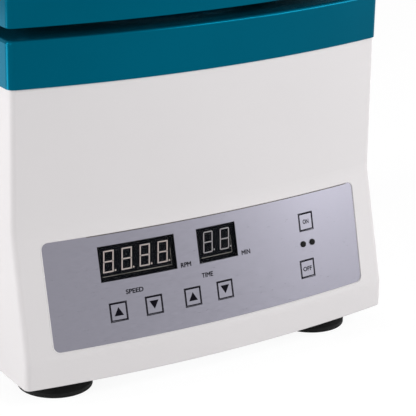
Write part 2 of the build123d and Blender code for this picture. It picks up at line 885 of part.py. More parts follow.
# Rotor head: a dished cone whose slope is square to the tilted tubes
with BuildPart() as rotor_head:
    with BuildSketch(chamber_plane):
        with BuildLine():
            Polyline(
                (shaft_radius + fit, hub_bottom),
                (head_hub_radius, hub_bottom),
                (head_hub_radius, head_bottom),
                (head_base_radius, head_bottom),
                (head_base_radius, head_bottom + head_base_edge),
                (head_rim_radius, dish_height(head_rim_radius)),
                (head_hub_radius, dish_height(head_hub_radius)),
                (head_hub_radius, hub_top),
                (shaft_radius + fit, hub_top),
                close=True,
            )
        make_face()
    revolve(axis=chamber_axis)
    for place in sleeve_planes:
        with BuildSketch(place):
            Circle(sleeve_radius + slip)
        extrude(amount=-sleeve_length, mode=Mode.SUBTRACT)
        with BuildSketch(place):
            Circle(sleeve_lip_radius + slip)
        extrude(amount=sleeve_length / 4, mode=Mode.SUBTRACT)
save(rotor_head, "rotor_head")

# Sleeves: metal cups that hang in the head by their lips and hold the tubes
for number, place in enumerate(sleeve_planes, 1):
    with BuildPart() as sleeve:
        with BuildSketch(place):
            Circle(sleeve_radius)
        extrude(amount=-sleeve_length)
        fillet(sleeve.faces().sort_by(Axis(place.origin, place.z_dir))[0].edges(), sleeve_round)
        with BuildSketch(place):
            Circle(sleeve_lip_radius)
        extrude(amount=sleeve_lip)
        with BuildSketch(place.offset(sleeve_lip)):
            Circle(sleeve_bore_radius)
        extrude(amount=-sleeve_lip - sleeve_length + sleeve_floor, mode=Mode.SUBTRACT)
    save(sleeve, f"sleeve_{number}")

with BuildPart() as rotor_nut:
    with BuildSketch(Plane.XY.offset(hub_top)):
        with Locations((0, chamber_y)):
            RegularPolygon(nut_radius, 6)
    extrude(amount=nut_height)
    chamfer(rotor_nut.faces().sort_by(Axis.Z)[-1].edges(), nut_chamfer)
    with BuildSketch(Plane.XY.offset(hub_top)):
        with Locations((0, chamber_y)):
            Circle(shaft_radius + fit)
    extrude(amount=nut_height - nut_cap, mode=Mode.SUBTRACT)
save(rotor_nut, "rotor_nut")

# Control panel: thin bowed plate in the recess of the slope
with BuildPart() as control_panel:
    loft(sections=slope_sections(panel_recess - panel_thickness, panel_recess), ruled=True)
    with BuildSketch(front_plane):
        with Locations((0, panel_middle)):
            RectangleRounded(panel_width, panel_height, panel_corner)
        for x, width in windows.values():
            with Locations((x, window_middle)):
                Rectangle(width, window_height, mode=Mode.SUBTRACT)
    extrude(amount=front_reach, mode=Mode.INTERSECT)
    for x, height in keys.values():
        with BuildSketch(panel_plane(x, height)):
            Rectangle(key_opening, key_opening)
        extrude(amount=2 * wall, both=True, mode=Mode.SUBTRACT)
    for x in led_xs:
        with BuildSketch(panel_plane(x, led_row)):
            Circle(led_radius + fit)
        extrude(amount=2 * wall, both=True, mode=Mode.SUBTRACT)
save(control_panel, "control_panel")

# Display windows, behind the panel's openings, and the digit modules behind them
for name, (x, width) in windows.items():
    with BuildPart() as window:
        loft(sections=slope_sections(pane_front, pane_front + window_thickness), ruled=True)
        with BuildSketch(front_plane):
            with Locations((x, window_middle)):
                Rectangle(pane_width(width), pane_height)
        extrude(amount=front_reach, mode=Mode.INTERSECT)
    save(window, f"{name}_window")
    with BuildPart() as display:
        with BuildSketch(tangent_plane(x, window_middle).offset(-module_depth(x, width))):
            Rectangle(digits[name] * digit_pitch, module_height)
        extrude(amount=-module_thickness)
        reach = to_board(x, window_middle)
        with BuildSketch(panel_plane(x, window_middle).offset(-reach)):
            Rectangle(digits[name] * digit_pitch - 2 * wall, module_height - 2 * wall)
        extrude(amount=reach - module_depth(x, width) - module_thickness / 2)
    save(display, f"{name}_display")

# Keys: flush caps that follow the bow, each on a retaining flange and a stem
for name, (x, height) in keys.items():
    with BuildPart() as key:
        loft(sections=slope_sections(panel_recess - panel_thickness, wall), ruled=True)
        with BuildSketch(panel_plane(x, height)):
            Rectangle(key_size, key_size)
        extrude(amount=2 * wall, both=True, mode=Mode.INTERSECT)
        with BuildSketch(panel_plane(x, height).offset(-wall / 2)):
            Rectangle(key_size, key_size)
        extrude(amount=-key_seat(x, height) + wall / 2)
        with BuildSketch(panel_plane(x, height).offset(-key_seat(x, height))):
            Rectangle(key_size + 2 * key_flange, key_size + 2 * key_flange)
        extrude(amount=-key_flange_thickness)
        with BuildSketch(panel_plane(x, height).offset(-key_seat(x, height))):
            Circle(key_stem_radius)
        extrude(amount=key_seat(x, height) - to_board(x, height) + stem_rest)
    save(key, name)

with BuildPart() as key_switches:
    for x, height in keys.values():
        with BuildSketch(panel_plane(x, height).offset(-to_board(x, height))):
            Rectangle(switch_size, switch_size)
        extrude(amount=switch_height)
        with BuildSketch(panel_plane(x, height).offset(switch_height - to_board(x, height))):
            Circle(key_stem_radius + seat)
        extrude(amount=-switch_bore, mode=Mode.SUBTRACT)
save(key_switches, "key_switches")

with BuildPart() as indicator_leds:
    for x in led_xs:
        reach = to_board(x, led_row)
        with BuildSketch(panel_plane(x, led_row).offset(-reach)):
            Circle(led_radius)
        extrude(amount=reach + led_dome)
    tops = indicator_leds.faces().sort_by(Axis((0, 0, 0), outward))[-len(led_xs) :]
    fillet(tops.edges(), led_dome)
save(indicator_leds, "indicator_leds")

with BuildPart() as display_board:
    with BuildSketch(panel_plane(0, panel_middle).offset(-board_depth)):
        Rectangle(board_width, board_tall)
    extrude(amount=-board_thickness)
save(display_board, "display_board")

# Power electronics beside the motor
with BuildPart() as power_board:
    with BuildSketch(Plane.XY.offset(plate_top + standoff_height)):
        with Locations((electronics_x, electronics_y)):
            Rectangle(power_board_width, power_board_depth)
    extrude(amount=board_thickness)
    with BuildSketch(Plane.XY.offset(plate_top + standoff_height + board_thickness)):
        with Locations((electronics_x, electronics_y - power_board_depth / 4)):
            Rectangle(power_board_width / 2, heat_sink_base)
            with GridLocations(power_board_width / 10, 0, 5, 1):
                Rectangle(heat_sink_base / 2, heat_sink_fin)
    extrude(amount=heat_sink_height)
    with BuildSketch(Plane.XY.offset(plate_top + standoff_height + board_thickness)):
        with Locations((electronics_x, electronics_y + power_board_depth / 4)):
            with GridLocations(power_board_width / 2, 0, 2, 1):
                Circle(capacitor_radius)
    extrude(amount=capacitor_height)
save(power_board, "power_board")

with BuildPart() as board_standoffs:
    with BuildSketch(Plane.XY.offset(plate_top)):
        with Locations((electronics_x, electronics_y)):
            with GridLocations(
                power_board_width - 3 * standoff_radius,
                power_board_depth - 3 * standoff_radius,
                2,
                2,
            ):
                Circle(standoff_radius)
    extrude(amount=standoff_height)
save(board_standoffs, "board_standoffs")

with BuildPart() as transformer:
    with BuildSketch(Plane.XY.offset(plate_top)):
        with Locations((-electronics_x, electronics_y)):
            Rectangle(transformer_width, transformer_depth)
    extrude(amount=transformer_height)
    with BuildSketch(Plane.XY.offset(plate_top + coil_margin)):
        with Locations((-electronics_x, electronics_y)):
            Rectangle(transformer_width - 2 * coil_margin, transformer_depth + 2 * coil_margin)
    extrude(amount=transformer_height - 2 * coil_margin)
save(transformer, "transformer")

# Mains inlet: flanged socket, and its three pins on the socket's floor
with BuildPart() as mains_inlet:
    with BuildSketch(rear_plane):
        with Locations((inlet_x, inlet_height)):
            Rectangle(inlet_width + 2 * inlet_flange, inlet_tall + 2 * inlet_flange)
    extrude(amount=-inlet_flange)
    with BuildSketch(rear_plane):
        with Locations((inlet_x, inlet_height)):
            Rectangle(inlet_width, inlet_tall)
    extrude(amount=inlet_depth)
    with BuildSketch(rear_plane.offset(-inlet_flange)) as socket:
        with Locations((inlet_x, inlet_height)):
            Rectangle(inlet_width - 2 * inlet_wall, inlet_tall - 2 * inlet_wall)
        chamfer(socket.vertices().group_by(Axis.Y)[-1], inlet_tall / 4)
    extrude(amount=inlet_flange + inlet_depth - inlet_wall, mode=Mode.SUBTRACT)
save(mains_inlet, "mains_inlet")

with BuildPart() as inlet_pins:
    with BuildSketch(rear_plane.offset(inlet_depth - inlet_wall)):
        for across, up in pin_places:
            with Locations((inlet_x + across, inlet_height + up)):
                Rectangle(pin_width, pin_tall)
    extrude(amount=-pin_length)
save(inlet_pins, "inlet_pins")

# Power switch: frame and rocker
with BuildPart() as power_switch_frame:
    with BuildSketch(rear_plane):
        with Locations((switch_x, inlet_height)):
            Rectangle(frame_width + 2 * frame_lip, frame_tall + 2 * frame_lip)
    extrude(amount=-frame_lip)
    with BuildSketch(rear_plane):
        with Locations((switch_x, inlet_height)):
            Rectangle(frame_width, frame_tall)
    extrude(amount=frame_depth)
    with BuildSketch(rear_plane.offset(-frame_lip)):
        with Locations((switch_x, inlet_height)):
            Rectangle(rocker_width + 2 * rocker_play, rocker_tall + 2 * rocker_play)
    extrude(amount=frame_lip + frame_depth - frame_wall, mode=Mode.SUBTRACT)
    with BuildSketch(Plane.YZ.offset(switch_x)):
        with Locations(rocker_pivot):
            Circle(rocker_pin_radius + fit)
    extrude(amount=rocker_pin_reach + fit, both=True, mode=Mode.SUBTRACT)
save(power_switch_frame, "power_switch_frame")

with BuildPart() as power_rocker:
    with BuildSketch(rocker_plane):
        with BuildLine():
            Polyline(
                (rocker_rise, rocker_tall / 2),
                (rocker_rise - rocker_dish, 0),
                (rocker_rise, -rocker_tall / 2),
                (-rocker_skirt, -rocker_tall / 2),
                (-rocker_keel, 0),
                (-rocker_skirt, rocker_tall / 2),
                close=True,
            )
        make_face()
    extrude(amount=rocker_width / 2, both=True)
    with BuildSketch(Plane.YZ.offset(switch_x)):
        with Locations(rocker_pivot):
            Circle(rocker_pin_radius)
    extrude(amount=rocker_pin_reach, both=True)
save(power_rocker, "power_rocker")

# Lid: coloured cover with a raised pad, lined below
with BuildPart() as lid_pad:
    extrude(rim_outline(pad_inset, lid_edge_top - lid_wall), amount=lid_wall + pad_rise)
    fillet(lid_pad.edges().filter_by(Axis.Z), pad_corner_radius)

with BuildPart() as lid_pad_hollow:
    extrude(rim_outline(pad_inset + lid_wall, lid_edge_top - lid_wall), amount=pad_rise)
    fillet(lid_pad_hollow.edges().filter_by(Axis.Z), pad_corner_radius - lid_wall)

with BuildPart() as lid_cover:
    extrude(rim_outline(0, lid_bottom), amount=lid_edge_height)
    fillet(upright_edges(lid_cover.part), corner_radius)
    fillet(lid_cover.faces().sort_by(Axis.Z)[-1].edges(), lid_edge_radius)
    add(lid_pad.part)
    fillet(lid_cover.faces().sort_by(Axis.Z)[-1].edges(), pad_radius)
    extrude(
        rim_outline(lid_wall, lid_bottom), amount=lid_edge_height - lid_wall, mode=Mode.SUBTRACT
    )
    add(lid_pad_hollow.part, mode=Mode.SUBTRACT)
    with BuildSketch(Plane.XY.offset(liner_top)):
        with Locations(*liner_boss_places):
            Circle(liner_boss_radius)
    extrude(amount=lid_edge_top - lid_wall - liner_top)
    with BuildSketch(Plane.XY.offset(liner_top)):
        with Locations(*liner_boss_places):
            Circle(screw_radius + fit)
    extrude(amount=screw_length, mode=Mode.SUBTRACT)
    with BuildSketch(hinge_plane.offset(-2 * deck_wall)):
        with Locations(*[(x, leaf_screw_drop) for x in leaf_screw_xs]):
            Circle(screw_radius + fit)
    extrude(amount=4 * deck_wall, mode=Mode.SUBTRACT)
save(lid_cover, "lid_cover")

with BuildPart() as lid_liner:
    extrude(rim_outline(lid_wall + seat, liner_bottom), amount=liner_thickness)
    with BuildSketch(Plane.XY.offset(liner_bottom)):
        with Locations(*liner_boss_places):
            Circle(screw_radius + fit)
    extrude(amount=liner_thickness, mode=Mode.SUBTRACT)
save(lid_liner, "lid_liner")

# Hinges: one leaf on the deck, one on the lid, and a pin through their knuckles
def hinge_leaves(side, knuckle_places, bore):
    """The leaves of both hinges on one side of the gap, with their knuckles."""
    with BuildPart() as leaves:
        with BuildSketch(hinge_plane):
            for x in hinge_xs:
                with Locations((x, side * (leaf_start + hinge_leaf_height) / 2)):
                    Rectangle(hinge_width, hinge_leaf_height - leaf_start)
                for place in knuckle_places:
                    with Locations((x + place, side * leaf_start / 2)):
                        Rectangle(knuckle, leaf_start)
        extrude(amount=-hinge_leaf)
        for x in hinge_xs:
            for place in knuckle_places:
                with BuildSketch(Plane.YZ.offset(x + place)):
                    with Locations(hinge_axis):
                        Circle(hinge_radius)
                extrude(amount=knuckle / 2, both=True)
                with BuildSketch(Plane.YZ.offset(x + place)):
                    with Locations(hinge_axis):
                        Circle(bore)
                extrude(amount=knuckle_pitch / 2, both=True, mode=Mode.SUBTRACT)
        with BuildSketch(hinge_plane):
            with Locations(*[(x, side * leaf_screw_drop) for x in leaf_screw_xs]):
                Circle(screw_radius + fit)
        extrude(amount=-hinge_leaf, mode=Mode.SUBTRACT)
    return leaves


hinge_base_leaves = hinge_leaves(-1, (0,), hinge_pin_radius + fit / 2)
save(hinge_base_leaves, "hinge_base_leaves")
hinge_lid_leaves = hinge_leaves(1, (-knuckle_pitch, knuckle_pitch), hinge_pin_radius + fit)
save(hinge_lid_leaves, "hinge_lid_leaves")

with BuildPart() as hinge_pins:
    for x in hinge_xs:
        with BuildSketch(Plane.YZ.offset(x)):
            with Locations(hinge_axis):
                Circle(hinge_pin_radius)
        extrude(amount=hinge_width / 2 + knuckle_gap, both=True)
        with BuildSketch(Plane.YZ.offset(x - hinge_width / 2 - knuckle_gap)):
            with Locations(hinge_axis):
                Circle(hinge_radius - knuckle_gap)
        extrude(amount=-pin_head)
        with BuildSketch(Plane.YZ.offset(x + hinge_width / 2 + knuckle_gap)):
            with Locations(hinge_axis):
                Circle(hinge_radius - knuckle_gap)
        extrude(amount=pin_head)
save(hinge_pins, "hinge_pins")


def leaf_screws(side, thickness):
    """Screws that hold the leaves of one side to the wall they lie on."""
    with BuildSketch(hinge_plane.offset(-hinge_leaf)) as heads:
        with Locations(*[(x, side * leaf_screw_drop) for x in leaf_screw_xs]):
            Circle(screw_head_radius)
    with BuildSketch(hinge_plane.offset(-hinge_leaf)) as shanks:
        with Locations(*[(x, side * leaf_screw_drop) for x in leaf_screw_xs]):
            Circle(screw_radius)
    with BuildPart() as screws:
        extrude(heads.sketch, amount=-screw_head_height)
        extrude(shanks.sketch, amount=hinge_leaf + thickness + screw_tip)
    return screws


hinge_base_screws = leaf_screws(-1, deck_wall)
save(hinge_base_screws, "hinge_base_screws")

# Lid screws: two pairs through the leaves, and four up through the liner
with BuildPart() as lid_screws:
    add(leaf_screws(1, lid_wall).part)
    with BuildSketch(Plane.XY.offset(liner_bottom)):
        with Locations(*liner_boss_places):
            Circle(screw_head_radius)
    extrude(amount=-screw_head_height)
    with BuildSketch(Plane.XY.offset(liner_bottom)):
        with Locations(*liner_boss_places):
            Circle(screw_radius)
    extrude(amount=liner_thickness + screw_length)
save(lid_screws, "lid_screws")
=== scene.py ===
"""Looks of the laboratory centrifuge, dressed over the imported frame. Metres, +Z up, front towards -Y."""

import json
from math import atan2, cos, pi, radians, sin, sqrt

import bmesh
import bpy
from mathutils import Matrix, Vector
from mathutils.bvhtree import BVHTree


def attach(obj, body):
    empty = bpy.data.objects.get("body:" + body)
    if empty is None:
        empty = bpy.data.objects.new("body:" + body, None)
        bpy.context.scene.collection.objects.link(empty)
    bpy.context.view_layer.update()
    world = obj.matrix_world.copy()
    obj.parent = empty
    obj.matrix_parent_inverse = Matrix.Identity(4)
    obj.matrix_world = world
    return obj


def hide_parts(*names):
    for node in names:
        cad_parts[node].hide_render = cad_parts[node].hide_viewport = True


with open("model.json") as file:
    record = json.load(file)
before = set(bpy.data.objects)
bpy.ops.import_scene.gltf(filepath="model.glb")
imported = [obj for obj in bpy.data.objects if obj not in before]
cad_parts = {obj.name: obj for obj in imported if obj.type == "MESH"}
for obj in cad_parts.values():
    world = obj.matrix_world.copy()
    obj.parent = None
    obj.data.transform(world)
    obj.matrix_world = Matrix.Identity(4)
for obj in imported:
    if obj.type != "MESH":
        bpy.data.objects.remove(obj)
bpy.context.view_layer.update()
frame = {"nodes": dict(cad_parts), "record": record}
nodes = frame["nodes"]

# Camera: the photograph's viewing angle, with no shift
AZIMUTH, ELEVATION, ROLL = radians(33.2274), radians(19.7140), radians(1.1143)
forward = Vector((sin(AZIMUTH) * cos(ELEVATION), cos(AZIMUTH) * cos(ELEVATION), -sin(ELEVATION)))
right = Vector((cos(AZIMUTH), -sin(AZIMUTH), 0))
up = right.cross(forward)
camera_data = bpy.data.cameras.new("camera")
camera_data.lens = 149.38
camera_data.sensor_width = 36
camera_data.clip_start = 0.05
camera = bpy.data.objects.new("camera", camera_data)
turned_right = cos(ROLL) * right + sin(ROLL) * up
turned_up = cos(ROLL) * up - sin(ROLL) * right
camera.matrix_world = Matrix(
    [
        [turned_right[row], turned_up[row], -forward[row], (-0.58013, -1.02744, 0.48845)[row]]
        for row in range(3)
    ]
    + [[0, 0, 0, 1]]
)
bpy.context.scene.collection.objects.link(camera)
bpy.context.scene.camera = camera

# Main measures of the part, in metres
CHAMBER_Y = 0.00385
FRONT = -0.13365
CREASE = 0.1126
BAND_TOP = 0.0336
SLOPE = 0.079
STEP = 0.019
PANEL_SINK = 0.0004
SLOPE_ANGLE = atan2(STEP, SLOPE)


def slope_y(x, z):
    """The sloping front's y at a given x and height."""
    share = (CREASE - z) / SLOPE
    bow = 0.0102 + 0.0013 * share
    half = (0.280 - 0.0056 * (z - 0.015) / 0.1904) / 2
    radius = (half**2 + bow**2) / (2 * bow)
    return FRONT - STEP * share - (sqrt(radius**2 - x**2) - (radius - bow))


# Material helpers
def nodes_of(name):
    """A new material with its node tree, its shader and a builder for further nodes."""
    material = bpy.data.materials.new(name)
    material.use_nodes = True
    tree = material.node_tree
    shader = tree.nodes["Principled BSDF"]
    return material, tree, shader


def link(tree, source, target):
    tree.links.new(source, target)


def place(tree, scale=(1, 1, 1), rotation=(0, 0, 0), centre=(0, 0, 0)):
    """Object coordinates, moved to a centre, turned and scaled."""
    coordinates = tree.nodes.new("ShaderNodeTexCoord")
    shift = tree.nodes.new("ShaderNodeVectorMath")
    shift.operation = "SUBTRACT"
    shift.inputs[1].default_value = centre
    link(tree, coordinates.outputs["Object"], shift.inputs[0])
    mapping = tree.nodes.new("ShaderNodeMapping")
    mapping.inputs["Scale"].default_value = scale
    mapping.inputs["Rotation"].default_value = rotation
    link(tree, shift.outputs[0], mapping.inputs["Vector"])
    return mapping.outputs["Vector"]


def noise(tree, vector, scale, detail=4.0, roughness=0.5):
    node = tree.nodes.new("ShaderNodeTexNoise")
    node.inputs["Scale"].default_value = scale
    node.inputs["Detail"].default_value = detail
    node.inputs["Roughness"].default_value = roughness
    link(tree, vector, node.inputs["Vector"])
    return node.outputs["Fac"]


def ramp(tree, factor, stops):
    node = tree.nodes.new("ShaderNodeValToRGB")
    elements = node.color_ramp.elements
    while len(elements) < len(stops):
        elements.new(0.5)
    for element, (position, colour) in zip(elements, stops):
        element.position = position
        element.color = (*colour, 1) if len(colour) == 3 else colour
    link(tree, factor, node.inputs["Fac"])
    return node.outputs["Color"]


def span(tree, factor, low, high, low_in=0.3, high_in=0.7):
    node = tree.nodes.new("ShaderNodeMapRange")
    node.inputs["From Min"].default_value = low_in
    node.inputs["From Max"].default_value = high_in
    node.inputs["To Min"].default_value = low
    node.inputs["To Max"].default_value = high
    link(tree, factor, node.inputs["Value"])
    return node.outputs["Result"]


def bump(tree, shader, height, strength, distance):
    node = tree.nodes.new("ShaderNodeBump")
    node.inputs["Strength"].default_value = strength
    node.inputs["Distance"].default_value = distance
    link(tree, height, node.inputs["Height"])
    link(tree, node.outputs["Normal"], shader.inputs["Normal"])


def tones(colour, spread):
    """Two near tones of a colour, a darker and a lighter one."""
    return [tuple(max(0.0, c * (1 - spread)) for c in colour), tuple(c * (1 + spread) for c in colour)]


def moulded(name, colour, rough=0.4, spread=0.03, grain=1400.0, depth=0.00002, specular=0.5, clouds=9.0, metallic=0.0, tint=(1, 1, 1)):
    """Moulded plastic or rubber: faint clouds in its colour and a fine grain."""
    material, tree, shader = nodes_of(name)
    dark, light = tones(colour, spread)
    vector = place(tree)
    link(tree, ramp(tree, noise(tree, vector, clouds, 3), [(0.3, dark), (0.7, light)]), shader.inputs["Base Color"])
    fine = noise(tree, vector, grain, 2, 0.6)
    link(tree, span(tree, fine, rough * 0.9, rough * 1.12), shader.inputs["Roughness"])
    bump(tree, shader, fine, 0.35, depth)
    shader.inputs["Specular IOR Level"].default_value = specular
    shader.inputs["Metallic"].default_value = metallic
    shader.inputs["Specular Tint"].default_value = (*tint, 1)
    return material


def brushed(name, colour, rough=0.3, spread=0.08, stretch=(20, 20, 900), depth=0.000004, metallic=1.0):
    """Metal with fine lines from brushing or drawing."""
    material, tree, shader = nodes_of(name)
    dark, light = tones(colour, spread)
    lines = noise(tree, place(tree, stretch), 1.0, 5, 0.65)
    link(tree, ramp(tree, lines, [(0.25, dark), (0.75, light)]), shader.inputs["Base Color"])
    link(tree, span(tree, lines, rough * 0.8, rough * 1.25), shader.inputs["Roughness"])
    bump(tree, shader, lines, 0.4, depth)
    shader.inputs["Metallic"].default_value = metallic
    return material


def turned(name, colour, rough=0.25, spread=0.06, rings=2600.0, depth=0.000006):
    """Metal turned on a lathe about the chamber's axis: fine rings that follow the radius."""
    material, tree, shader = nodes_of(name)
    dark, light = tones(colour, spread)
    centred = place(tree, (1, 1, 0), centre=(0, CHAMBER_Y, 0))
    length = tree.nodes.new("ShaderNodeVectorMath")
    length.operation = "LENGTH"
    link(tree, centred, length.inputs[0])
    join = tree.nodes.new("ShaderNodeCombineXYZ")
    link(tree, length.outputs["Value"], join.inputs["X"])
    tall = tree.nodes.new("ShaderNodeSeparateXYZ")
    link(tree, place(tree), tall.inputs[0])
    link(tree, tall.outputs["Z"], join.inputs["Y"])
    lines = noise(tree, join.outputs[0], rings, 4, 0.7)
    clouds = noise(tree, place(tree), 14.0, 3)
    link(tree, ramp(tree, clouds, [(0.3, dark), (0.7, light)]), shader.inputs["Base Color"])
    link(tree, span(tree, lines, rough * 0.8, rough * 1.3), shader.inputs["Roughness"])
    bump(tree, shader, lines, 0.5, depth)
    shader.inputs["Metallic"].default_value = 1.0
    return material


def laminated(name, colour, rough=0.5, pitch=0.0007):
    """Stacked steel sheets: dark lines between them, all level."""
    material, tree, shader = nodes_of(name)
    dark, light = tones(colour, 0.12)
    wave = tree.nodes.new("ShaderNodeTexWave")
    wave.bands_direction = "Z"
    wave.inputs["Scale"].default_value = 1 / pitch / (2 * pi) * 3.14
    wave.inputs["Distortion"].default_value = 0.4
    link(tree, place(tree), wave.inputs["Vector"])
    rust = noise(tree, place(tree), 60.0, 5)
    link(tree, ramp(tree, rust, [(0.3, dark), (0.75, light)]), shader.inputs["Base Color"])
    bump(tree, shader, wave.outputs["Fac"], 0.5, 0.00006)
    shader.inputs["Metallic"].default_value = 0.8
    shader.inputs["Roughness"].default_value = rough
    return material


def board(name, components=False):
    """Green circuit board: tracks as darker and lighter cells, with pale solder dots."""
    material, tree, shader = nodes_of(name)
    vector = place(tree)
    cells = tree.nodes.new("ShaderNodeTexVoronoi")
    cells.distance = "MANHATTAN"
    cells.feature = "F1"
    cells.inputs["Scale"].default_value = 160.0
    link(tree, vector, cells.inputs["Vector"])
    tracks = ramp(tree, cells.outputs["Distance"], [(0.06, (0.55, 0.56, 0.5)), (0.1, (0.015, 0.13, 0.05)), (0.5, (0.02, 0.17, 0.07)), (0.62, (0.01, 0.09, 0.035))])
    axes = tree.nodes.new("ShaderNodeSeparateXYZ")
    link(tree, vector, axes.inputs[0])

    def above(axis, level):
        step = tree.nodes.new("ShaderNodeMath")
        step.operation = "GREATER_THAN"
        step.inputs[1].default_value = level
        link(tree, axes.outputs[axis], step.inputs[0])
        return step.outputs[0]

    def choose(factor, first, second):
        mix = tree.nodes.new("ShaderNodeMix")
        mix.data_type = "RGBA"
        link(tree, factor, mix.inputs["Factor"])
        for socket, value in (("A", first), ("B", second)):
            socket = [port for port in mix.inputs if port.name == socket and port.type == "RGBA"][0]
            if isinstance(value, tuple):
                socket.default_value = (*value, 1)
            else:
                link(tree, value, socket)
        return [port for port in mix.outputs if port.type == "RGBA"][0]

    if components:
        # A board with its heat sink in front and its capacitors behind, all one node
        parts = choose(above("Y", 0.045), (0.5, 0.5, 0.51), (0.015, 0.03, 0.09))
        tops = choose(above("Z", 0.0514), parts, (0.55, 0.55, 0.56))
        tracks = choose(above("Z", 0.0267), tracks, tops)
    link(tree, tracks, shader.inputs["Base Color"])
    link(tree, span(tree, noise(tree, vector, 300.0), 0.3, 0.45), shader.inputs["Roughness"])
    return material


materials = {
    "white_shell": moulded("white_shell", (0.77, 0.745, 0.752), 0.5, 0.012, 1500.0, 0.000012, 0.18),
    "teal_shell": moulded("teal_shell", (0.0, 0.098, 0.162), 0.2, 0.05, 1500.0, 0.000004, 0.05, 9.0, 0.4, (0.0, 0.75, 0.9)),
    "black_rubber": moulded("black_rubber", (0.005, 0.005, 0.0052), 0.75, 0.25, 900.0, 0.00003, 0.2),
    "dark_plastic": moulded("dark_plastic", (0.02, 0.026, 0.03), 0.5, 0.1, 700.0, 0.00006),
    "zinc_steel": brushed("zinc_steel", (0.55, 0.56, 0.57), 0.35, 0.15, (90, 90, 90)),
    "bowl_steel": turned("bowl_steel", (0.6, 0.6, 0.61), 0.24),
    "cast_aluminium": turned("cast_aluminium", (0.62, 0.62, 0.63), 0.33),
    "sleeve_aluminium": brushed("sleeve_aluminium", (0.68, 0.68, 0.69), 0.28, 0.06, (260, 260, 60)),
    "motor_enamel": moulded("motor_enamel", (0.035, 0.04, 0.045), 0.35, 0.15, 500.0, 0.00005),
    "lamination_steel": laminated("lamination_steel", (0.24, 0.24, 0.25)),
    "bearing_steel": turned("bearing_steel", (0.72, 0.72, 0.72), 0.12),
    "commutator_brass": brushed("commutator_brass", (0.65, 0.33, 0.16), 0.3, 0.1, (600, 600, 20)),
    "carbon": moulded("carbon", (0.02, 0.02, 0.021), 0.6, 0.3, 1200.0, 0.00004),
    "panel_silver": brushed("panel_silver", (0.245, 0.24, 0.282), 0.34, 0.035, (160, 1500, 1500), 0.000002),
    "key_silver": brushed("key_silver", (0.25, 0.245, 0.287), 0.34, 0.035, (160, 1500, 1500), 0.000002),
    "display_black": moulded("display_black", (0.002, 0.003, 0.005), 0.6, 0.2, 900.0, 0.00001, 0.02),
    "lens_black": moulded("lens_black", (0.002, 0.002, 0.002), 0.1, 0.3, 300.0, 0.000002, 0.2),
    "board_green": board("board_green"),
    "hinge_steel": brushed("hinge_steel", (0.55, 0.55, 0.56), 0.3, 0.1, (30, 900, 900)),
    "fitting_black": moulded("fitting_black", (0.012, 0.012, 0.013), 0.45, 0.2, 800.0, 0.00003),
}


def smoke_pane():
    """Thin clear pane: mostly see-through, with a clean gloss."""
    material, tree, shader = nodes_of("pane_smoke")
    dust = noise(tree, place(tree), 40.0, 3)
    link(tree, ramp(tree, dust, [(0.3, (0.004, 0.004, 0.005)), (0.7, (0.008, 0.007, 0.009))]), shader.inputs["Base Color"])
    link(tree, span(tree, dust, 0.05, 0.07), shader.inputs["Roughness"])
    shader.inputs["Alpha"].default_value = 0.1
    shader.inputs["Specular IOR Level"].default_value = 0.35
    return material


materials["pane_smoke"] = smoke_pane()
slot_of = {part["node"]: part["material_slot"] for part in frame["record"]["subparts"]}
for name, node in nodes.items():
    node.data.materials.clear()
    node.data.materials.append(materials[slot_of[name]])


nodes["power_board"].data.materials[0] = board("power_board", True)


# Pieces
def add_piece(name, mesh, material, body="base"):
    """A finished piece that rides on a body and takes a slot's finish."""
    piece = bpy.data.objects.new(name, mesh)
    bpy.context.scene.collection.objects.link(piece)
    mesh.materials.clear()
    mesh.materials.append(material)
    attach(piece, body)
    return piece


def flat_mesh(name, polygons):
    """A mesh of separate flat polygons given as lists of points."""
    vertices, faces = [], []
    for polygon in polygons:
        faces.append(list(range(len(vertices), len(vertices) + len(polygon))))
        vertices.extend(polygon)
    mesh = bpy.data.meshes.new(name)
    mesh.from_pydata(vertices, [], faces)
    return mesh


def slab_mesh(name, polygons, into):
    """Flat outlines given a thickness: each becomes a closed plate that reaches back by a vector."""
    vertices, faces = [], []
    for polygon in polygons:
        first, count = len(vertices), len(polygon)
        vertices.extend(tuple(Vector(point)) for point in polygon)
        vertices.extend(tuple(Vector(point) + Vector(into)) for point in polygon)
        faces.append([first + k for k in range(count)])
        faces.append([first + count + k for k in reversed(range(count))])
        for k in range(count):
            after = (k + 1) % count
            faces.append([first + after, first + k, first + count + k, first + count + after])
    mesh = bpy.data.meshes.new(name)
    mesh.from_pydata(vertices, [], faces)
    shape = bmesh.new()
    shape.from_mesh(mesh)
    bmesh.ops.recalc_face_normals(shape, faces=shape.faces)
    shape.to_mesh(mesh)
    shape.free()
    return mesh


ink = moulded("ink", (0.004, 0.0035, 0.007), 0.8, 0.2, 1500.0, 0.000002, 0.05)
segment_pink = moulded("segment_pink", (0.78, 0.67, 0.64), 0.5, 0.06, 900.0, 0.00001)
segment_grey = moulded("segment_grey", (0.5, 0.47, 0.49), 0.5, 0.06, 900.0, 0.00001)


def on_panel(x, z, proud=0.00003):
    """A point on the panel's face, by x and height."""
    return (x, slope_y(x, z) + PANEL_SINK - proud, z)


def panel_surface(centre_x, centre_z):
    """Points of the panel's face round a place, by steps along it and up its slope."""
    outward = Vector((0, -cos(SLOPE_ANGLE), sin(SLOPE_ANGLE)))
    return lambda u, v: (Vector(on_panel(centre_x + u, centre_z + v * cos(SLOPE_ANGLE), 0)), outward)


def cast_surface(node, centre, across, upward, outward):
    """Points of a CAD node's surface, found by rays that come in against its outward direction."""
    tree = BVHTree.FromObject(nodes[node], bpy.context.evaluated_depsgraph_get())
    across, upward, outward = Vector(across), Vector(upward), Vector(outward).normalized()

    def surface(u, v):
        start = Vector(centre) + across * u + upward * v + outward * 0.03
        return tree.ray_cast(start, -outward)[0], outward

    return surface


